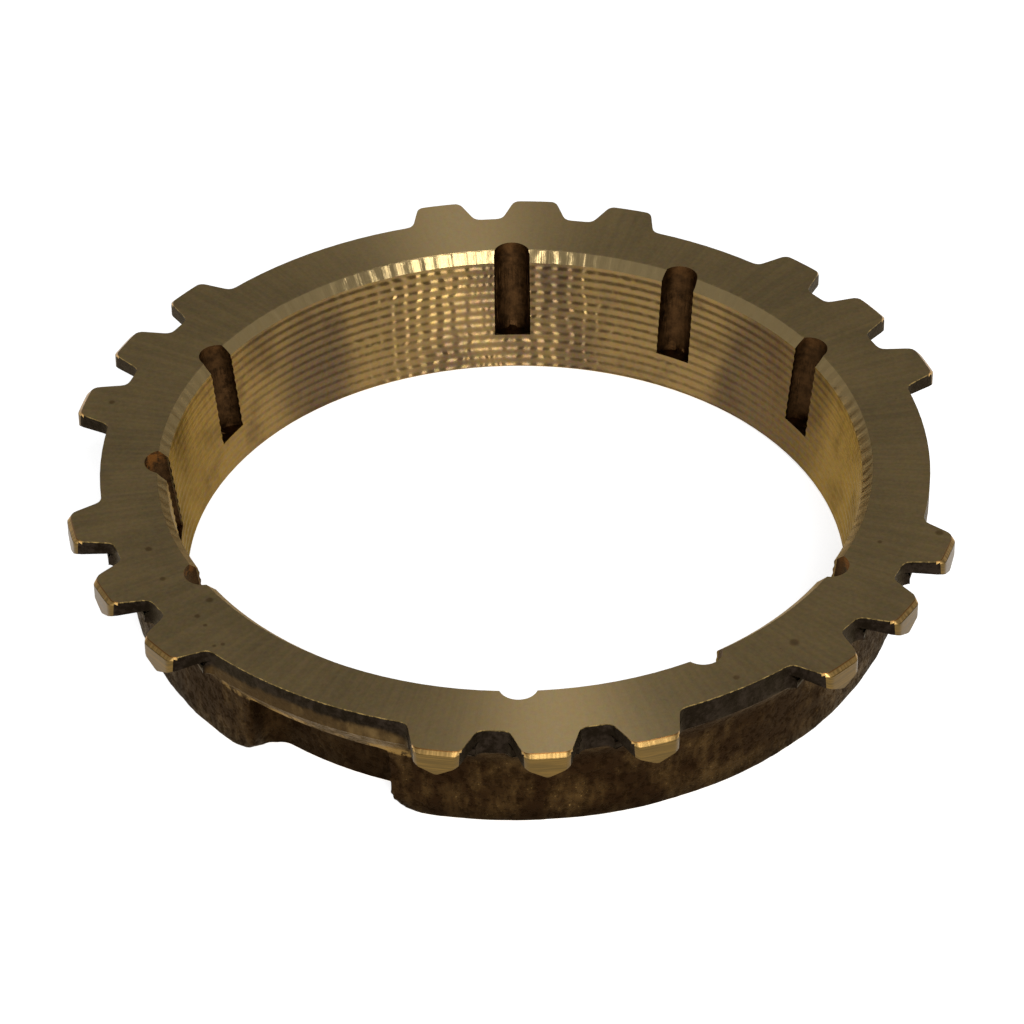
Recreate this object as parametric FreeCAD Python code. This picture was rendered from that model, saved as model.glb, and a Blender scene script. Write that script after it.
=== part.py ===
import FreeCAD, Part
import math
import os

from FreeCAD import Vector

# Synchronizer ring of a manual gearbox, one brass forging with turned faces.
# Millimetres and degrees. The ring's axis is Z, the feet of the three pads
# stand on z = 0 and the flat gear-side face looks up at z = ring_height.

# Tapered friction bore, measured on the crests of its fine thread
ring_height = 11.3
bore_mouth_radius = 28.3
cone_half_angle = 6.5
mouth_chamfer = 0.9
foot_chamfer = 0.35

# Toothed flange around the bore's mouth, down to the shoulder of the skirt
rim_thickness = 5.5
tooth_depth = 3.0
root_wall_depth = 2.3
shoulder_depth = 4.6
root_radius = bore_mouth_radius + rim_thickness
tip_radius = root_radius + tooth_depth

# Key slots in the forged skirt, with a floor just outside the bore's mouth
key_slot_count = 3
key_slot_width = 12.5
key_slot_floor_step = 0.3
key_slot_top_depth = 5.05
key_slot_corner_radius = 1.6
key_slot_floor_radius = bore_mouth_radius + key_slot_floor_step

# Pads of the skirt, raised above the key slots' floors
pad_height = 3.15
pad_draft_angle = 2.0
pad_edge_radius = 0.4
pad_end_radius = 2.6
pad_foot_radius = key_slot_floor_radius + pad_height

# Blocker teeth: groups of three stand either side of each pad's middle
teeth_per_group = 3
pitches_per_turn = 27
tooth_tip_width = 3.4
flank_angle = 18.6
flank_depth = 1.4
roof_angle = 26.5
eave_angle = 4.5
tip_chamfer = 0.35
tip_corner_radius = 0.35
ridge_radius = 0.5
root_fillet = 0.45

# Oil slots across the bore, cut by a round tool that leans with the cone
oil_slot_spacing = 30.0
oil_slot_tool_radius = 1.55
oil_slot_depth = 1.9
oil_slot_length = 8.0
oil_slot_lean_angle = 8.6
oil_slot_mouth_radius = bore_mouth_radius + oil_slot_depth

# Cutting tools start this far outside the solid
clearance = 2.0

axis = Vector(0, 0, 1)
centre = Vector(0, 0, 0)


def tan(angle):
    return math.tan(math.radians(angle))


def turned(shape, angle):
    """A copy of the shape, turned about the ring's axis."""
    copy = shape.copy()
    copy.rotate(centre, axis, angle)
    return copy


def face_from(edges):
    return Part.Face(Part.Wire(edges))


def line(start, end):
    return Part.LineSegment(start, end).toShape()


def arc(start, middle, end):
    return Part.Arc(start, middle, end).toShape()


def upright_edges(shape, inner_radius, outer_radius):
    """Edges along the ring's axis that stand between two radii."""
    edges = []
    for edge in shape.Edges:
        start = edge.firstVertex().Point
        rise = edge.lastVertex().Point - start
        upright = math.hypot(rise.x, rise.y) < Part.Precision.confusion() < abs(rise.z)
        if upright and inner_radius < math.hypot(start.x, start.y) < outer_radius:
            edges.append(edge)
    return edges


# The blank

def ring_blank():
    """Ring without teeth or slots: its half section turned about the axis."""
    mouth_z = ring_height - mouth_chamfer
    bore_foot_radius = bore_mouth_radius - (mouth_z - foot_chamfer) * tan(cone_half_angle)
    wall_z = ring_height - root_wall_depth
    shoulder_z = ring_height - shoulder_depth
    shoulder_radius = pad_foot_radius + shoulder_z * tan(pad_draft_angle)

    # The rounded lower edge touches the foot plane and the drafted side
    draft = math.radians(pad_draft_angle)
    on_side = pad_foot_radius + pad_edge_radius * math.tan(draft)
    round_centre_radius = on_side - pad_edge_radius / math.cos(draft)

    def on_round(angle):
        return Vector(round_centre_radius + pad_edge_radius * math.cos(angle), 0,
                      pad_edge_radius + pad_edge_radius * math.sin(angle))

    foot = on_round(-math.pi / 2)
    side = on_round(-draft)
    halfway = on_round((-math.pi / 2 - draft) / 2)

    section = [
        Vector(bore_foot_radius + foot_chamfer, 0, 0),
        Vector(bore_foot_radius, 0, foot_chamfer),
        Vector(bore_mouth_radius, 0, mouth_z),
        Vector(bore_mouth_radius + mouth_chamfer, 0, ring_height),
        Vector(root_radius, 0, ring_height),
        Vector(root_radius, 0, wall_z),
        Vector(shoulder_radius, 0, shoulder_z),
        side,
    ]
    edges = [line(start, end) for start, end in zip(section, section[1:])]
    edges.append(arc(side, halfway, foot))
    edges.append(line(foot, section[0]))
    return face_from(edges).revolve(centre, axis, 360)


# The blocker teeth

def tooth_outline():
    """Plan of one tooth on the X axis, with fillets where its flanks meet the root."""
    slope = tan(flank_angle)
    half_tip = tooth_tip_width / 2
    cos_flank = math.cos(math.radians(flank_angle))
    sin_flank = math.sin(math.radians(flank_angle))

    # Centre of a fillet that touches the flank's line and the root circle
    offset = half_tip + tip_radius * slope + root_fillet / cos_flank
    reach = root_radius + root_fillet
    square = 1 + slope ** 2
    fillet_x = (offset * slope + math.sqrt(square * reach ** 2 - offset ** 2)) / square
    fillet_centre = Vector(fillet_x, offset - slope * fillet_x, 0)

    beyond_tip = tip_radius + clearance
    inner_x = root_radius - clearance
    tip = Vector(beyond_tip, half_tip - clearance * slope, 0)
    on_flank = fillet_centre - Vector(sin_flank, cos_flank, 0) * root_fillet
    on_root = fillet_centre * (root_radius / reach)
    inner = Vector(inner_x, on_root.y, 0)

    # The fillet's middle point lies on the line that halves its two radii
    halving = (on_flank - fillet_centre) + (on_root - fillet_centre)
    middle = fillet_centre + halving.normalize() * root_fillet

    def mirrored(point):
        return Vector(point.x, -point.y, point.z)

    upper = [line(inner, on_root), arc(on_root, middle, on_flank), line(on_flank, tip)]
    lower = [
        line(mirrored(tip), mirrored(on_flank)),
        arc(mirrored(on_flank), mirrored(middle), mirrored(on_root)),
        line(mirrored(on_root), mirrored(inner)),
    ]
    return face_from(upper + [line(tip, mirrored(tip))] + lower + [line(mirrored(inner), inner)])


def roof_tool(side):
    """Block whose upper face is one slope of the roof under a tooth on the X axis."""
    reach = tip_radius + clearance
    block = Part.makeBox(2 * reach, 2 * reach, reach)
    block.translate(Vector(-reach, -reach, -reach))
    block.rotate(centre, Vector(0, 1, 0), eave_angle)
    block.rotate(centre, Vector(1, 0, 0), side * roof_angle)
    block.rotate(centre, axis, -side * flank_angle)
    block.translate(Vector(tip_radius, side * tooth_tip_width / 2, ring_height - flank_depth))
    return block


def tip_cylinder():
    return turned(Part.makeCylinder(tip_radius, ring_height), 180)


def tip_cone():
    """Cone that chamfers the upper edge of the tips."""
    edge_radius = tip_radius - tip_chamfer
    cone = Part.makeCone(edge_radius + ring_height, edge_radius, ring_height)
    return turned(cone, 180)


def ridge_edges(tooth):
    """The edge where the two slopes of a roof meet, in the tooth's middle plane."""
    edges = []
    for edge in tooth.Edges:
        ends = [vertex.Point for vertex in edge.Vertexes]
        if all(abs(point.y) < Part.Precision.confusion() for point in ends):
            edges.append(edge)
    return edges


def blocker_tooth():
    depth = root_wall_depth + clearance
    tooth = tooth_outline().extrude(Vector(0, 0, depth))
    tooth.translate(Vector(0, 0, ring_height - depth))
    tooth = tooth.common(tip_cylinder())
    corners = upright_edges(tooth, (root_radius + tip_radius) / 2, tip_radius + clearance)
    tooth = tooth.makeFillet(tip_corner_radius, corners)
    for side in (-1, 1):
        tooth = tooth.cut(roof_tool(side))
    tooth = tooth.makeFillet(ridge_radius, ridge_edges(tooth))
    return tooth.common(tip_cone())


def tooth_angles():
    """Teeth stand three each side of a pad's middle, where one tooth is left out."""
    pitch = 360 / pitches_per_turn
    pad_turn = 360 / key_slot_count
    angles = []
    for pad in range(key_slot_count):
        pad_middle = (pad + 0.5) * pad_turn
        for place in range(1, teeth_per_group + 1):
            angles.append(pad_middle - place * pitch)
            angles.append(pad_middle + place * pitch)
    return angles


# The key slots

def slot_end_x():
    """Where the corner radius of a slot on the X axis runs out into the pad's end."""
    from_axis = key_slot_floor_radius + key_slot_corner_radius
    from_middle = key_slot_width / 2 - key_slot_corner_radius
    return math.sqrt(from_axis ** 2 - from_middle ** 2)


def key_slot_tool():
    """Tool for the slot on the X axis, with rounded corners beside its floor."""
    height = ring_height - key_slot_top_depth + clearance
    block = Part.makeBox(tip_radius + clearance, key_slot_width, height)
    block.translate(Vector(0, -key_slot_width / 2, -clearance))
    core = Part.makeCylinder(key_slot_floor_radius, 2 * height)
    core.translate(Vector(0, 0, -height))
    tool = block.cut(turned(core, 180))
    corners = upright_edges(tool, 0, key_slot_floor_radius + key_slot_corner_radius)
    return tool.makeFillet(key_slot_corner_radius, corners)


def pad_end_tool(side):
    """Tool that rounds a pad's lower corner, from nothing at the slot to full at its face.

    The round is a cone that touches the pad's end and its foot.
    """
    half_width = key_slot_width / 2
    start = Vector(slot_end_x(), side * half_width, 0)
    face_x = math.sqrt(pad_foot_radius ** 2 - half_width ** 2)
    growth = pad_end_radius / (face_x - start.x)
    length = face_x - start.x + clearance
    spread = growth * length

    edge_end = start + Vector(length, 0, 0)
    on_foot = edge_end + Vector(0, side * spread, 0)
    on_end = edge_end + Vector(0, 0, spread)
    corners = [start, edge_end, on_foot, on_end]
    faces = []
    for left_out in range(4):
        triangle = [corner for place, corner in enumerate(corners) if place != left_out]
        faces.append(Part.Face(Part.makePolygon(triangle + [triangle[0]])))
    wedge = Part.Solid(Part.Shell(faces))

    cone_axis = Vector(1, side * growth, growth)
    cone_height = length * cone_axis.Length
    cone_radius = cone_height * growth / math.sqrt(1 + growth ** 2)
    return wedge.cut(Part.makeCone(0, cone_radius, cone_height, start, cone_axis))


# The oil slots

def oil_slot_tool():
    """Round tool on the X axis, leaned so that its wall follows the cone."""
    tool = Part.makeCylinder(oil_slot_tool_radius, oil_slot_length + clearance)
    tool.translate(Vector(0, 0, -oil_slot_length))
    tool.rotate(centre, Vector(0, 1, 0), oil_slot_lean_angle)
    tool.translate(Vector(oil_slot_mouth_radius - oil_slot_tool_radius, 0, ring_height))
    return tool


def oil_slot_angles():
    """Slots at an even spacing, left out where a key slot has thinned the wall."""
    places = round(360 / oil_slot_spacing)
    key_turn = 360 / key_slot_count
    angles = []
    for place in range(places):
        angle = place * oil_slot_spacing
        from_key = abs((angle + key_turn / 2) % key_turn - key_turn / 2)
        if from_key > oil_slot_spacing / 2:
            angles.append(angle)
    return angles


# The finished ring

def synchronizer_ring():
    ring = ring_blank()
    key_angles = [place * 360 / key_slot_count for place in range(key_slot_count)]
    slot = key_slot_tool()
    ring = ring.cut([turned(slot, angle) for angle in key_angles])
    pad_ends = [pad_end_tool(side) for side in (-1, 1)]
    ring = ring.cut([turned(tool, angle) for tool in pad_ends for angle in key_angles])
    tooth = blocker_tooth()
    ring = ring.fuse([turned(tooth, angle) for angle in tooth_angles()])
    oil_slot = oil_slot_tool()
    ring = ring.cut([turned(oil_slot, angle) for angle in oil_slot_angles()])
    return ring.removeSplitter()


os.makedirs("parts", exist_ok=True)
ring = synchronizer_ring()
ring.exportStep("parts/synchronizer_ring.step")
print("synchronizer_ring", len(ring.Solids), "solid,", round(ring.Volume, 1), "mm3, valid", ring.isValid())
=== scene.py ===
import math

import bmesh
import bpy
from mathutils import Matrix, Vector, noise


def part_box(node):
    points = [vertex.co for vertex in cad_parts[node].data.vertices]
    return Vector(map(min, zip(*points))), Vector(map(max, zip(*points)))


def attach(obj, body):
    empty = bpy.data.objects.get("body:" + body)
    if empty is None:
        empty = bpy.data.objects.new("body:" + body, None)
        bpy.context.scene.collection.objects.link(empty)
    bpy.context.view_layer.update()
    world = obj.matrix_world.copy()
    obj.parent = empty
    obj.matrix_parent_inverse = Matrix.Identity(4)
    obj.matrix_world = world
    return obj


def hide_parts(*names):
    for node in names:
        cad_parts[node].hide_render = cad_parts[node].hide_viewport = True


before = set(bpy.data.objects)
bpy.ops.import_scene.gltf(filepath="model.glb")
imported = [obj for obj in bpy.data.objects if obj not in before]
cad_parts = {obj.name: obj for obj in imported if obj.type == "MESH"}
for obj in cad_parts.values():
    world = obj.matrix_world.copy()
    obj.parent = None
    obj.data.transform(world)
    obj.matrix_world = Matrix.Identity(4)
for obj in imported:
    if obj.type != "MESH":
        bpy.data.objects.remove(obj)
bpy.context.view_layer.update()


# The forging: one brass ring, drop forged with its three pads and then turned and broached.
# Its solid comes from the frame, in millimetres here, with its triangles joined at their corners.
MM = 0.001
weld_distance = 1e-6

ring = bpy.data.objects.new("brass_ring", bpy.data.meshes.new("brass_ring"))
bpy.context.scene.collection.objects.link(ring)
forging = bmesh.new()
forging.from_mesh(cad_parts["synchronizer_ring"].data)
bmesh.ops.remove_doubles(forging, verts=forging.verts, dist=weld_distance)
bmesh.ops.scale(forging, vec=Vector((1, 1, 1)) / MM, verts=forging.verts)

# The teeth: eighteen blocker teeth, broached in six groups of three and then tumbled with the
# ring, which rounds the corners of their tips and roots more than their edges.
ring_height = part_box("synchronizer_ring")[1].z / MM
pad_turn = 120.0
tooth_turn = 360.0 / 27
teeth_in_group = 3
tooth_tip_radius = 36.8
tooth_root_radius = 33.8
tooth_half_tip = 1.7
tooth_flank = math.radians(18.6)
tooth_lowest = ring_height - 2.7
tip_chamfer = 0.35
tip_corner_radius = 0.8
root_corner_radius = 0.85
tooth_edge_length = 0.34
tooth_passes = (4, 2, 1)
tooth_tolerance = 0.02
side_steepness = 0.3


def cylindrical(point):
    return math.hypot(point.x, point.y), math.atan2(point.y, point.x)


def divide_long_edges(shape, longest, is_inside):
    """Halves, once, the edges that are longer than that and lie inside."""
    edges = [edge for edge in shape.edges if edge.calc_length() > longest and is_inside(edge)]
    bmesh.ops.subdivide_edges(shape, edges=edges, cuts=1)
    bmesh.ops.triangulate(shape, faces=[face for face in shape.faces if len(face.verts) > 3])


def on_tooth(vertex):
    in_teeth = cylindrical(vertex.co)[0] > tooth_root_radius - tooth_tolerance
    return in_teeth and vertex.co.z > tooth_lowest


def along_tooth(edge):
    return all(on_tooth(vertex) for vertex in edge.verts)


def nearest_tooth(angle):
    """The angle of the nearest tooth. Each pad carries a group on either side of its middle."""
    pad_middle = (math.floor(angle / pad_turn) + 0.5) * pad_turn
    place = min(max(round(abs(angle - pad_middle) / tooth_turn), 1), teeth_in_group)
    return pad_middle + math.copysign(place, angle - pad_middle) * tooth_turn


def rounded(point, centre, radius, first, second):
    """Brings a point between the two directions from the centre to the radius."""
    away = point - centre
    past_first = first.cross(away) * first.cross(second) > 0
    before_second = second.cross(away) * second.cross(first) > 0
    if past_first and before_second and away.length > radius:
        return centre + away.normalized() * radius
    return point


def tumbled(point, on_side):
    """Where a point of a tooth lies once the corners of the tooth's outline are rounded."""
    angle = cylindrical(point)[1]
    tooth_angle = math.radians(nearest_tooth(math.degrees(angle)))
    local = Matrix.Rotation(-tooth_angle, 2) @ point.xy
    side = math.copysign(1, local.y)
    flat = Vector((local.x, abs(local.y)))
    flank_normal = Vector((math.sin(tooth_flank), math.cos(tooth_flank)))

    def on_flank(x, offset):
        half_width = tooth_half_tip + (tooth_tip_radius - x) * math.tan(tooth_flank)
        return Vector((x, half_width + offset / math.cos(tooth_flank)))

    chamfered_off = max(0.0, point.z - (ring_height - tip_chamfer))
    tip_reach = tooth_tip_radius - chamfered_off - tip_corner_radius
    tip_centre = on_flank(tip_reach, -tip_corner_radius)
    flat = rounded(flat, tip_centre, tip_corner_radius, Vector((1, 0)), flank_normal)
    root_reach = tooth_root_radius + root_corner_radius
    root_width = on_flank(root_reach, root_corner_radius).y
    root_centre = on_flank(math.sqrt(root_reach ** 2 - root_width ** 2), root_corner_radius)
    if on_side:
        inward = -root_centre.normalized()
        flat = rounded(flat, root_centre, root_corner_radius, -flank_normal, inward)
    turned = Matrix.Rotation(tooth_angle, 2) @ Vector((flat.x, side * flat.y))
    return Vector((turned.x, turned.y, point.z))


for longest in tooth_passes:
    divide_long_edges(forging, longest * tooth_edge_length, along_tooth)
forging.normal_update()
side_faces = [face for face in forging.faces if abs(face.normal.z) < side_steepness]
side_vertices = {vertex for face in side_faces for vertex in face.verts}
for vertex in forging.verts:
    if on_tooth(vertex):
        vertex.co = tumbled(vertex.co, vertex in side_vertices)

# The forged skin: the pads, the key slots' floors and the shoulder keep the scale and the
# small lumps of the die. The outer corners of the feet, at the pads' ends, are worn round.
skin_inner_radius = 28.45
skin_top = ring_height - 2.3
skin_bottom = 0.02
skin_edge_length = 0.8
skin_passes = (8, 4, 2, 1.4, 1, 1)
skin_lump_height = 0.085
skin_grain_height = 0.03
skin_lump_size = 3.2
skin_grain_size = 0.8
lump_unevenness = 0.9
lump_fineness = 2.1
lump_layers = 4
skin_smoothing = 2
smoothing_share = 0.5
key_half_width = 6.25
key_turn = math.radians(pad_turn)
foot_round_height = 1.8
foot_round_depth = 0.75
foot_round_reach = 2.4
foot_round_into_key = 0.5
foot_round_sideways = 0.6
foot_round_radii = (29.2, 31.2)


def worn_foot(point):
    """Where a point near a pad's end lies once the corner of the foot is rounded."""
    radius, angle = cylindrical(point)
    from_key = angle - round(angle / key_turn) * key_turn
    beyond = abs(radius * math.sin(from_key)) - key_half_width
    if point.z > foot_round_height or beyond < -foot_round_into_key or beyond > foot_round_reach:
        return point
    starts, full = foot_round_radii
    outer = min(max((radius - starts) / (full - starts), 0), 1)
    along = 1 - max(beyond, 0) / foot_round_reach
    worn = foot_round_depth * outer * along * (1 - point.z / foot_round_height) ** 2
    radial = Vector((math.cos(angle), math.sin(angle), 0))
    away_from_key = Vector((-radial.y, radial.x, 0)) * math.copysign(1, from_key)
    return point + (away_from_key * foot_round_sideways - radial) * worn


def is_forged(face):
    middle = face.calc_center_median()
    radius = cylindrical(middle)[0]
    return radius > skin_inner_radius and skin_bottom < middle.z < skin_top


def in_skin(part):
    """Whether all the faces at an edge or a corner are forged ones."""
    return all(is_forged(face) for face in part.link_faces)


def lump(point, size):
    return noise.fractal(point / size, lump_unevenness, lump_fineness, lump_layers)


for longest in skin_passes:
    divide_long_edges(forging, longest * skin_edge_length, in_skin)
for vertex in forging.verts:
    vertex.co = worn_foot(vertex.co)
skin_vertices = [vertex for vertex in forging.verts if in_skin(vertex)]
for step in range(skin_smoothing):
    bmesh.ops.smooth_vert(forging, verts=skin_vertices, factor=smoothing_share,
                          use_axis_x=True, use_axis_y=True, use_axis_z=True)
forging.normal_update()
for vertex in forging.verts:
    if in_skin(vertex):
        away = Vector((vertex.normal.x, vertex.normal.y, 0))
        rise = lump(vertex.co, skin_lump_size) * skin_lump_height
        rise += lump(vertex.co, skin_grain_size) * skin_grain_height
        vertex.co += away * rise
bmesh.ops.scale(forging, vec=Vector((MM, MM, MM)), verts=forging.verts)
forging.to_mesh(ring.data)
forging.free()

# The thread: a fine oil-cutting groove is turned along the whole cone of the bore, and its
# crests are then skimmed. A tapered plug with that thread on it is taken out of the ring.
bore_mouth_radius = 28.3
bore_mouth_z = ring_height - 0.9
cone_slope = math.tan(math.radians(6.5))
thread_pitch = 0.8
thread_depth = 0.08
thread_skim = 0.035
thread_start = -1.6
thread_turns = 18
thread_columns = 480
sharp_edge = math.radians(32)

# One groove in steps: how far along the pitch, and what share of the depth
thread_form = [(0.0, 0.0), (0.17, 0.25), (0.33, 0.75), (0.5, 1.0), (0.67, 0.75), (0.83, 0.25)]


def crest_radius(z):
    return bore_mouth_radius - (bore_mouth_z - z) * cone_slope


def threaded_plug():
    """Closed mesh of the plug: one long strip, wound so that each turn meets the next one."""
    form_rows = len(thread_form)
    rows = form_rows * thread_turns
    points, numbers, faces = [], {}, []

    def point(row, column):
        if column == thread_columns:
            row, column = row + form_rows, 0
        if (row, column) not in numbers:
            turn, place = divmod(row, form_rows)
            along, depth = thread_form[place]
            angle = 2 * math.pi * column / thread_columns
            z = thread_start + (turn + along + column / thread_columns) * thread_pitch
            radius = crest_radius(z) + thread_skim + depth * thread_depth
            numbers[row, column] = len(points)
            points.append((radius * math.cos(angle) * MM, radius * math.sin(angle) * MM, z * MM))
        return numbers[row, column]

    for row in range(rows):
        for column in range(thread_columns):
            faces.append((point(row, column), point(row, column + 1),
                          point(row + 1, column + 1), point(row + 1, column)))
    for end_row, end_z in ((0, thread_start), (rows, thread_start + thread_turns * thread_pitch)):
        loop = [point(end_row, column) for column in range(thread_columns + 1)]
        loop += [point(end_row + step, 0) for step in range(form_rows - 1, -1, -1)]
        points.append((0, 0, end_z * MM))
        hub = len(points) - 1
        faces += [(hub, first, second) for first, second in zip(loop, loop[1:])]
    mesh = bpy.data.meshes.new("threaded_plug")
    mesh.from_pydata(points, [], faces)
    shape = bmesh.new()
    shape.from_mesh(mesh)
    bmesh.ops.recalc_face_normals(shape, faces=shape.faces)
    shape.to_mesh(mesh)
    shape.free()
    return bpy.data.objects.new("threaded_plug", mesh)


plug = threaded_plug()
bpy.context.scene.collection.objects.link(plug)
cut = ring.modifiers.new("thread", "BOOLEAN")
cut.operation = "DIFFERENCE"
cut.solver = "MANIFOLD"
cut.object = plug
bpy.context.view_layer.update()
threaded = bpy.data.meshes.new_from_object(ring.evaluated_get(bpy.context.evaluated_depsgraph_get()))
ring.modifiers.clear()
ring.data = threaded
ring.data.name = "brass_ring"
bpy.data.objects.remove(plug)
ring.data.materials.clear()
for attribute in [each for each in ring.data.attributes if each.name == "custom_normal"]:
    ring.data.attributes.remove(attribute)
ring.data.shade_smooth()
ring.data.set_sharp_from_angle(angle=sharp_edge)

# Which finish each face has, by the tool that made it: turned face, threaded bore, broached
# tooth sides, turned tooth tips, milled oil slots, or the skin left by the forging die.
FINISHES = ["turned", "threaded", "broached", "tip", "oil_slot", "forged"]
oil_slot_half_width = 1.6
oil_slot_outer_radius = 30.4
oil_slot_floor_z = 3.0
oil_slot_spacing = math.radians(30)
thread_clearance = 0.2
mouth_outer_radius = 29.3
bore_outer_radius = 29.0
tip_inner_radius = 36.0
broached_lowest = skin_top - 0.6
face_depth = 0.1
just_inside = 0.05

# How much of its normal a face turns up, down, outward or inward to be taken for one of these
facing = 0.9
slanting = 0.5
mouth_lean = 0.3
bore_lean = 0.05


def finish_of(middle, normal):
    """The finish of a face, from where its middle lies and which way it looks."""
    radius, angle = cylindrical(middle)
    outward = (normal.x * middle.x + normal.y * middle.y) / radius
    in_mouth = middle.z > bore_mouth_z - face_depth and radius < mouth_outer_radius
    if in_mouth and outward < -mouth_lean and normal.z > slanting:
        return "turned"
    nearest_slot = round(angle / oil_slot_spacing) * oil_slot_spacing
    across_slot = abs(radius * math.sin(angle - nearest_slot))
    in_slot_wall = crest_radius(middle.z) + thread_clearance < radius < oil_slot_outer_radius
    at_slot_height = oil_slot_floor_z < middle.z < ring_height - just_inside
    if across_slot < oil_slot_half_width and in_slot_wall and at_slot_height:
        on_key_floor = outward > facing
        return "forged" if on_key_floor else "oil_slot"
    if normal.z > facing and middle.z > ring_height - face_depth:
        return "turned"
    if outward < -bore_lean and radius < bore_outer_radius:
        return "threaded"
    if radius > tip_inner_radius and outward > slanting:
        return "tip"
    if radius > tooth_root_radius - face_depth and middle.z > broached_lowest:
        return "broached"
    if normal.z < -facing and middle.z < just_inside:
        return "turned"
    if radius < skin_inner_radius:
        return "threaded"
    return "forged"


finish_numbers = [
    FINISHES.index(finish_of(face.center / MM, face.normal)) for face in ring.data.polygons]

# The turned face: the gear side, the mouth's chamfer and the pads' feet, faced on a lathe.
# Fine feed marks run round it, and handling has dulled it to olive with small brown spots.
scallops_in_turn = 141.0
scallop_sway = 9.0


class Field:
    """A value, vector or colour that changes over a surface. Arithmetic on it adds the nodes."""

    def __init__(self, tree, socket=None):
        self.tree = tree
        self.socket = socket

    def node(self, kind, settings, inputs, output=0):
        """Adds a node. Its settings are set first, then the values or links of its sockets."""
        made = self.tree.nodes.new(kind)
        for name, value in settings.items():
            setattr(made, name, value)
        for name, value in inputs.items():
            if isinstance(value, Field):
                self.tree.links.new(value.socket, made.inputs[name])
            else:
                made.inputs[name].default_value = value
        return Field(self.tree, made.outputs[output] if made.outputs else None)

    def sum_of(self, operation, *values):
        return self.node("ShaderNodeMath", {"operation": operation}, dict(enumerate(values)))

    def __add__(self, other):
        return self.sum_of("ADD", self, other)

    def __radd__(self, other):
        return self.sum_of("ADD", other, self)

    def __sub__(self, other):
        return self.sum_of("SUBTRACT", self, other)

    def __rsub__(self, other):
        return self.sum_of("SUBTRACT", other, self)

    def __mul__(self, other):
        return self.sum_of("MULTIPLY", self, other)

    def __rmul__(self, other):
        return self.sum_of("MULTIPLY", other, self)

    def __truediv__(self, other):
        return self.sum_of("DIVIDE", self, other)

    def __pow__(self, other):
        return self.sum_of("POWER", self, other)


def below_face(depths):
    """The two heights at which something starts and ends, from their depths below the face."""
    return [ring_height - depth for depth in depths]


def linear(red, green, blue):
    """A colour given as it looks on a screen, from 0 to 255, as the light it stands for."""
    return tuple((value / 255) ** 2.2 for value in (red, green, blue)) + (1.0,)


class Brass(Field):
    """The fields that every finish of this ring is made from, with lengths in millimetres."""

    def __init__(self, name):
        self.material = bpy.data.materials.new(name)
        self.material.use_nodes = True
        super().__init__(self.material.node_tree)
        self.tree.nodes.clear()
        place = self.node("ShaderNodeTexCoord", {}, {}, "Object")
        scaled = self.node("ShaderNodeVectorMath", {"operation": "SCALE"}, {0: place, "Scale": 1 / MM})
        self.place = scaled
        parts = self.node("ShaderNodeSeparateXYZ", {}, {0: scaled})
        sockets = parts.socket.node.outputs
        self.x, self.y, self.z = (Field(self.tree, socket) for socket in sockets)
        self.radius = (self.x * self.x + self.y * self.y) ** 0.5
        self.cosine = self.x / self.radius
        self.sine = self.y / self.radius

    def vector(self, x, y, z):
        return self.node("ShaderNodeCombineXYZ", {}, {0: x, 1: y, 2: z})

    def noise(self, where, scale, detail, roughness, output="Fac"):
        inputs = {"Vector": where, "Scale": scale, "Detail": detail, "Roughness": roughness}
        return self.node("ShaderNodeTexNoise", {}, inputs, output)

    def rise(self, value, low, high):
        """0 below low and 1 above high, with a soft step between. Low may be the larger."""
        inputs = {"Value": value, "From Min": low, "From Max": high}
        return self.node("ShaderNodeMapRange", {"interpolation_type": "SMOOTHSTEP"}, inputs)

    def mix(self, first, second, share):
        settings = {"data_type": "RGBA", "blend_type": "MIX"}
        return self.node("ShaderNodeMix", settings, {0: share, 6: first, 7: second}, 2)

    def around(self, turns, along, down):
        """A place that runs round the ring without a seam, for marks that follow the lathe."""
        return self.vector(self.cosine * turns, self.sine * turns, self.radius * along + self.z * down)

    def chatter(self):
        """Upright scallops that the shaking tool leaves, about 1.2 mm apart and uneven."""
        swell = self.noise(self.around(7.0, 0.0, 0.5), 1.0, 2.0, 0.6)
        angle = self.sum_of("ARCTAN2", self.y, self.x)
        return self.sum_of("SINE", angle * scallops_in_turn + swell * scallop_sway) * swell

    def over_key(self):
        """1 at the angles of the three key slots, 0 at those of the pads."""
        cosine_of_three_turns = 4.0 * self.cosine ** 3.0 - 3.0 * self.cosine
        return self.rise(cosine_of_three_turns, 0.45, 0.85)

    def near(self, angle, radius, z, size):
        """1 at a spot, given by its angle, radius and height, and 0 beyond its size."""
        turn = math.radians(angle)
        spot = (radius * math.cos(turn), radius * math.sin(turn), z)
        ends = {0: self.place, 1: spot}
        away = self.node("ShaderNodeVectorMath", {"operation": "DISTANCE"}, ends, "Value")
        return self.rise(away, size, size * 0.35)

    def finish(self, colour, roughness, height, settled=None):
        """Ends the material. The height is in millimetres, and settled holds uniform numbers."""
        bumped = self.node("ShaderNodeBump", {}, {"Height": height, "Distance": MM, "Strength": 1.0})
        inputs = {"Base Color": colour, "Roughness": roughness, "Metallic": 1.0, "Normal": bumped}
        shader = self.node("ShaderNodeBsdfPrincipled", {}, {**inputs, **(settled or {})})
        self.node("ShaderNodeOutputMaterial", {}, {"Surface": shader})
        ring.data.materials.append(self.material)


face_colour = linear(186, 157, 103)
face_dull = linear(150, 129, 88)
face_spot = linear(88, 56, 28)
mouth_colour = linear(222, 194, 138)
face_glance = (0.66, 0.56, 0.42, 1.0)
face_roughness = 0.38
feed_depth = 0.0035
fine_feed_depth = 0.002
streak_depth = 0.006
mouth_chatter_depth = 0.035
mouth_streak_depth = 0.03
mouth_edge_depths = (0.02, 0.08)
mouth_edge_radii = (30.0, 29.6)

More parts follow.
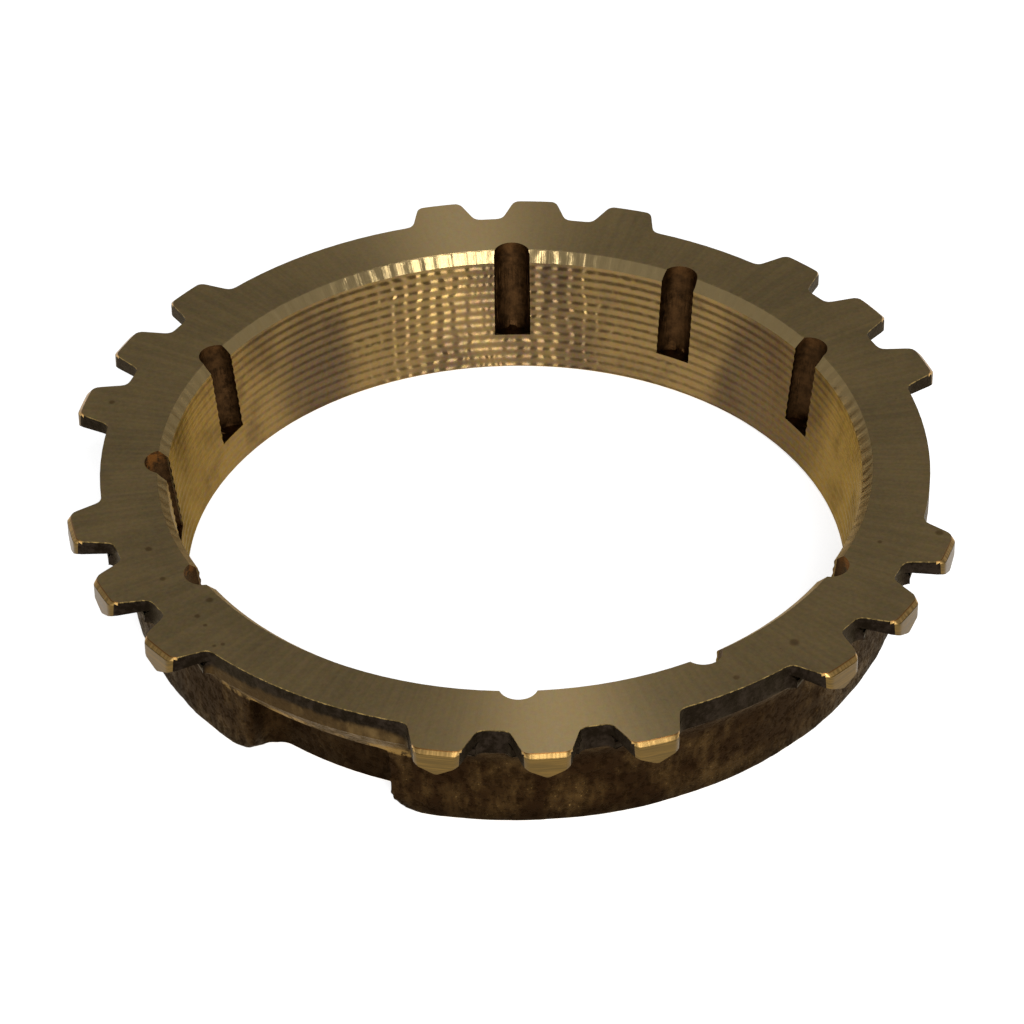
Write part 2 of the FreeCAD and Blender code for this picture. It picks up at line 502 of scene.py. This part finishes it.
# Each spot's angle in degrees, radius and size
face_spots = [
    (-158.9, 31.4, 0.42), (-151.7, 31.8, 0.36), (-143.7, 30.0, 0.45), (-141.8, 31.9, 0.36),
    (-139.5, 32.1, 0.26), (-134.7, 32.6, 0.28), (-135.3, 33.2, 0.24), (166.3, 34.3, 0.38),
    (-17.3, 35.4, 0.5), (-21.8, 31.2, 0.3), (-48.0, 32.1, 0.6), (-59.0, 32.6, 0.4)]

turned = Brass("turned_brass")
feed = turned.noise(turned.around(5.0, 9.0, 9.0), 1.0, 3.0, 0.7)
fine_feed = turned.noise(turned.around(18.0, 22.0, 22.0), 1.0, 2.0, 0.6)
cloud = turned.noise(turned.place, 0.16, 4.0, 0.6)
dust = turned.noise(turned.place, 3.2, 4.0, 0.75)
speck = turned.rise(turned.noise(turned.place, 1.15, 2.0, 0.5), 0.70, 0.78) * 0.5
for angle, radius, size in face_spots:
    speck = speck + turned.near(angle, radius, ring_height, size) * 0.7
streaks = turned.noise(turned.around(60.0, 0.0, 0.0), 1.0, 2.0, 0.6)
film = turned.rise(cloud, 0.3, 0.75) * 0.45 + turned.rise(dust, 0.36, 0.64) * 0.3
film = film + turned.rise(streaks, 0.35, 0.65) * 0.25
shimmer = turned.noise(turned.around(90.0, 2.0, 2.0), 1.0, 2.0, 0.5, "Color")
colour = turned.mix(face_colour, face_dull, film)
colour = turned.mix(colour, shimmer, 0.07)
colour = turned.mix(colour, face_spot, turned.rise(speck, 0.0, 1.0) * 0.55)
in_mouth = turned.rise(turned.z, *below_face(mouth_edge_depths))
in_mouth = in_mouth * turned.rise(turned.radius, *mouth_edge_radii)
colour = turned.mix(colour, mouth_colour, in_mouth * 0.65)
fine_streaks = turned.noise(turned.around(95.0, 0.0, 0.0), 1.0, 2.0, 0.6)
mouth_marks = turned.chatter() * mouth_chatter_depth + fine_streaks * mouth_streak_depth
marks = feed * feed_depth + fine_feed * fine_feed_depth + streaks * streak_depth
marks = marks + mouth_marks * in_mouth
turned.finish(colour, face_roughness + 0.10 * film + 0.15 * speck - 0.08 * in_mouth, marks,
              settled={"Anisotropic": 0.9, "Anisotropic Rotation": 0.25, "Specular Tint": face_glance})

# The threaded bore: the turns of the fine thread are polished by the gear's cone, in swathes.
# The tool's chatter, strongest on the far side, leaves upright bands there that sparkle.
bore_colour = linear(90, 68, 32)
bore_bright = linear(127, 100, 50)
bore_deep = linear(80, 58, 27)
bore_glance = (0.74, 0.61, 0.41, 1.0)
bore_roughness = 0.28
bore_chatter_depth = 0.05
tool_mark_depth = 0.004
least_shaken = 0.3
shaken_sines = (0.80, 0.88)

bore = Brass("threaded_brass")
tool_marks = bore.noise(bore.around(9.0, 0.0, 6.0), 1.0, 3.0, 0.7)
stain = bore.rise(bore.noise(bore.place, 0.3, 4.0, 0.6), 0.42, 0.75)
shimmer = bore.noise(bore.around(80.0, 0.0, 3.0), 1.0, 2.0, 0.6, "Color")
swathe = bore.rise(bore.noise(bore.around(3.4, 0.0, 0.05), 1.0, 1.0, 0.5), 0.40, 0.60)
colour = bore.mix(bore_colour, bore_bright, swathe)
colour = bore.mix(colour, bore_deep, stain * 0.4)
colour = bore.mix(colour, shimmer, 0.06)
shaken = least_shaken + (1 - least_shaken) * bore.rise(bore.sine, *shaken_sines)
marks = bore.chatter() * shaken * bore_chatter_depth + tool_marks * tool_mark_depth
bore.finish(colour, bore_roughness + 0.10 * stain, marks,
            settled={"Anisotropic": 0.8, "Anisotropic Rotation": 0.25, "Specular Tint": bore_glance})

# The broached sides: the teeth's flanks, their roofs and the wall between the teeth. Their near-black
# colour is painted shade and painted dark reflection; only the sharp upper edge is rubbed clean and
# painted with a highlight, and the scale starts below them.
# The two dark side colours are painted shade and dark reflection between the teeth; the edge colour is
# wear with a painted highlight.
side_painted_shade = linear(27, 22, 17)
side_painted_shade_grey = linear(46, 39, 33)
side_edge_wear_and_highlight = linear(150, 126, 78)
skin_gold = linear(75, 57, 34)
skin_brown = linear(42, 29, 18)
skin_black_and_shade = linear(20, 14, 8)
skin_glint = linear(170, 136, 84)
skin_band = linear(108, 88, 57)
wall_height = 2.45
wall_height_over_key = 1.2
wall_unevenness = 1.1
wall_edge = (-0.3, 0.25)
wall_radii = (tooth_root_radius + 0.5, tooth_root_radius + 0.2)
rubbed_depths = (0.13, 0.06)
grain_depth = 0.05
smear_depth = 0.03


def forged_colour(skin):
    """Golden where rubbed, brown in general and nearly black in the pits."""
    patches = skin.noise(skin.place, 0.22, 5.0, 0.62)
    streaks = skin.noise(skin.around(26.0, 0.0, 0.25), 1.0, 4.0, 0.65)
    gold = skin.rise(patches * 0.55 + streaks * 0.45, 0.44, 0.68)
    pits = skin.rise(skin.noise(skin.place, 1.9, 4.0, 0.7), 0.53, 0.40)
    colour = skin.mix(skin_brown, skin_gold, gold)
    colour = skin.mix(colour, skin_black_and_shade, pits * 0.22)
    # Painted highlight: bright glints are painted on the golden parts of the skin.
    glints = skin.rise(skin.noise(skin.place, 4.5, 2.0, 0.6), 0.66, 0.74)
    colour = skin.mix(colour, skin_glint, glints * gold * 0.6)
    return colour, gold, pits


# What a low glance off the dark scale looks like: brown, not white
dusky = (0.80, 0.73, 0.63, 1.0)

broached = Brass("broached_brass")
grain = broached.noise(broached.place, 2.6, 5.0, 0.7)
smear = broached.noise(broached.around(30.0, 0.0, 0.5), 1.0, 4.0, 0.6)
shorter = (wall_height - wall_height_over_key) * broached.over_key()
wall_bottom = ring_height - wall_height + shorter + (smear - 0.5) * wall_unevenness
wall = broached.rise(broached.z - wall_bottom, *wall_edge)
on_wall = broached.rise(broached.radius, *wall_radii)
skin_below, gold, pits = forged_colour(broached)
band = broached.over_key() * (0.2 + 0.5 * gold + 0.4 * (grain - 0.5))
skin_below = broached.mix(skin_below, skin_band, band)
# Painted shade: the flanks, roofs and wall are painted near-black for the shade and dark reflections
# between the teeth.
colour = broached.mix(side_painted_shade, side_painted_shade_grey, broached.rise(grain * 0.5 + smear * 0.5, 0.42, 0.62))
colour = broached.mix(colour, skin_below, (1.0 - wall) * on_wall)
# Painted highlight with wear: the sharp upper edge is painted light, in place of the highlight a small
# round would catch.
rubbed = broached.rise(broached.z + (grain - 0.5) * 0.1, *below_face(rubbed_depths))
colour = broached.mix(colour, side_edge_wear_and_highlight, rubbed * (0.3 + 0.7 * broached.rise(grain, 0.44, 0.6)))
broached.finish(colour, 0.46 + (grain - 0.5) * 0.3, grain * grain_depth + smear * smear_depth,
                settled={"Specular Tint": dusky})

# The teeth's tips: turned with the blank before broaching, so they carry the lathe's marks
# and a small chamfer on their gear side, painted bright: clean metal with a painted highlight in
# streaks.
tip_colour = linear(92, 75, 45)
tip_worn = linear(114, 90, 50)
tip_chamfer_bright_and_highlight = linear(192, 154, 94)
tip_fringe = linear(120, 78, 40)
chamfer_depths = (tip_chamfer, 0.27)
fringe_depths = (0.1, 0.03)
tip_mark_depth = 0.006
tip_streak_depth = 0.012

tip = Brass("tip_brass")
tip_marks = tip.noise(tip.around(8.0, 6.0, 8.0), 1.0, 3.0, 0.7)
tip_streaks = tip.noise(tip.around(130.0, 0.0, 0.0), 1.0, 2.0, 0.6)
chamfer = tip.rise(tip.z, *below_face(chamfer_depths))
fringe = tip.rise(tip.z + (tip_streaks - 0.5) * 0.1, *below_face(fringe_depths))
colour = tip.mix(tip_colour, tip_worn, tip.rise(tip_marks, 0.4, 0.7))
# Painted highlight: the chamfer is painted bright in streaks, over the clean metal of the cut.
colour = tip.mix(colour, tip_chamfer_bright_and_highlight, chamfer * (0.55 + 0.45 * tip.rise(tip_streaks, 0.4, 0.6)))
colour = tip.mix(colour, tip_fringe, fringe * 0.8)
marks = tip_marks * tip_mark_depth + tip_streaks * tip_streak_depth * chamfer
tip.finish(colour, 0.40 + (tip_marks - 0.5) * 0.2, marks)

# The oil slots: milled across the thread with a round cutter, and brown inside with burnt oil
# and a little rust-coloured scale at their mouths.
slot_brown = linear(82, 59, 37)
slot_dark = linear(38, 28, 19)
slot_rust = linear(112, 73, 37)
slot_mouth_depths = (1.4, 0.3)
slot_scale_depth = 0.06

# Each rusty mouth's angle in degrees, radius and size
rusty_mouths = [(-150.0, 29.4, 2.2), (180.0, 29.4, 2.4), (-30.0, 29.4, 2.0)]

slot = Brass("oil_slot_brass")
scale = slot.noise(slot.place, 1.4, 4.0, 0.65)
mouth = slot.rise(slot.z + (scale - 0.5) * 2.0, *below_face(slot_mouth_depths))
rust = mouth * 0.2
for angle, radius, size in rusty_mouths:
    rust = rust + slot.near(angle, radius, ring_height, size) * slot.rise(scale, 0.40, 0.56)
colour = slot.mix(slot_dark, slot_brown, slot.rise(scale, 0.15, 0.85))
colour = slot.mix(colour, slot_rust, slot.rise(rust, 0.0, 1.0))
slot.finish(colour, 0.5 + (scale - 0.5) * 0.3, scale * slot_scale_depth,
            settled={"Specular Tint": dusky})

# The forged skin: brown scale over brass, golden where it is rubbed, with painted shade darkening it
# towards the feet.
# The shoulder above the key slots is paler, and its outer edge is worn to the metal.
skin_worn = linear(150, 118, 66)
worn_edge_starts = (6.0, 6.25)
worn_edge_ends = (7.4, 6.6)
worn_edge_radii = (31.0, 31.7)
shoulder_heights = (6.1, 6.4)
foot_shade_heights = (2.2, 0.2)
key_floor_radii = (30.0, 29.0)
crust_height = 0.06
pit_depth = 0.03

skin = Brass("forged_brass")
colour, gold, pits = forged_colour(skin)
worn_edge = skin.rise(skin.z, *worn_edge_ends) * skin.rise(skin.z, *worn_edge_starts)
worn_edge = worn_edge * skin.rise(skin.radius, *worn_edge_radii)
worn_edge = worn_edge * skin.rise(gold + (pits - 0.5) * -0.4, 0.1, 0.5)
shoulder = skin.rise(skin.z, *shoulder_heights) * skin.over_key()
colour = skin.mix(colour, skin_band, shoulder * (0.3 + 0.5 * gold))
colour = skin.mix(colour, skin_worn, worn_edge * skin.over_key() * 0.7)
# Painted shade: the skin is darkened towards the feet, near the floor.
painted_foot_shade = skin.rise(skin.z, *foot_shade_heights)
key_floor = skin.rise(skin.radius, *key_floor_radii)
colour = skin.mix(colour, skin_black_and_shade, painted_foot_shade * 0.55)
colour = skin.mix(colour, skin_brown, key_floor * 0.6)
colour = skin.mix(colour, skin_black_and_shade, key_floor * 0.3)
crust = skin.noise(skin.place, 2.2, 5.0, 0.72)
skin.finish(colour, 0.58 - 0.18 * gold + 0.2 * pits, crust * crust_height + pits * -pit_depth,
            settled={"Specular Tint": dusky})

ring.data.polygons.foreach_set("material_index", finish_numbers)
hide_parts("synchronizer_ring")
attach(ring, "root")

# The studio: a plain white floor, a weak soft box overhead, one in front that lights the mouth's
# chamfer and the fans on the turned face, and a low one that makes the thread sparkle.
# The camera stands where the photograph was taken from.
floor_half = 3.0
floor_gap = 2e-5
floor_white = (0.9, 0.9, 0.9, 1)
floor_roughness = 0.9
floor_shine = 0.1
floor_glow = 0.74
white = (1, 1, 1, 1)
room_light = 0.255
overhead_place = (0.04, 0.05, 1.0)
overhead_size = (0.48, 0.7)
overhead_power = 0.12
front_place = (0.21, -0.57, 0.78)
front_size = (0.42, 0.28)
front_power = 2.45
low_place = (0.14, -0.94, 0.3)
low_size = (0.45, 0.2)
low_power = 7.0
camera_distance = 388.7
camera_elevation = 37.93
camera_turn = -0.15
camera_aim = (0.042, -0.659, -0.652)
sensor_width = 36.0
focal_length = 167.53

floor_signs = [(-1, -1), (1, -1), (1, 1), (-1, 1)]
floor_corners = [(x * floor_half, y * floor_half, -floor_gap) for x, y in floor_signs]
floor_mesh = bpy.data.meshes.new("floor")
floor_mesh.from_pydata(floor_corners, [], [(0, 1, 2, 3)])
floor = bpy.data.objects.new("floor", floor_mesh)
bpy.context.scene.collection.objects.link(floor)
floor_paint = bpy.data.materials.new("floor_paint")
floor_paint.use_nodes = True
paint = floor_paint.node_tree.nodes["Principled BSDF"].inputs
paint["Base Color"].default_value = floor_white
paint["Roughness"].default_value = floor_roughness
paint["Specular IOR Level"].default_value = floor_shine
paint["Emission Color"].default_value = white
paint["Emission Strength"].default_value = floor_glow
floor_mesh.materials.append(floor_paint)

room = bpy.data.worlds.new("room")
room.use_nodes = True
room.node_tree.nodes["Background"].inputs["Color"].default_value = white
room.node_tree.nodes["Background"].inputs["Strength"].default_value = room_light
bpy.context.scene.world = room


def soft_box(name, place, size, power):
    """A rectangular lamp that faces the ring."""
    lamp = bpy.data.lights.new(name, "AREA")
    lamp.shape = "RECTANGLE"
    lamp.size, lamp.size_y = size
    lamp.energy = power
    box = bpy.data.objects.new(name, lamp)
    box.location = place
    box.rotation_euler = (-Vector(place)).to_track_quat("-Z", "Y").to_euler()
    bpy.context.scene.collection.objects.link(box)


soft_box("overhead", overhead_place, overhead_size, overhead_power)
soft_box("front", front_place, front_size, front_power)
soft_box("low", low_place, low_size, low_power)

camera_data = bpy.data.cameras.new("camera")
camera_data.sensor_width = sensor_width
camera_data.lens = focal_length
camera = bpy.data.objects.new("camera", camera_data)
elevation = math.radians(camera_elevation)
stand = Vector((0, -math.cos(elevation), math.sin(elevation))) * camera_distance
stand.z += ring_height
yaw, pitch, roll = (math.radians(angle) for angle in camera_aim)
aim = Matrix.Rotation(math.radians(90) - elevation, 4, "X") @ Matrix.Rotation(yaw, 4, "Y")
aim = aim @ Matrix.Rotation(pitch, 4, "X") @ Matrix.Rotation(roll, 4, "Z")
turn = Matrix.Rotation(math.radians(camera_turn), 4, "Z")
camera.matrix_world = turn @ Matrix.Translation(stand * MM) @ aim
bpy.context.scene.collection.objects.link(camera)
bpy.context.scene.camera = camera
bpy.context.scene.view_settings.view_transform = "Standard"
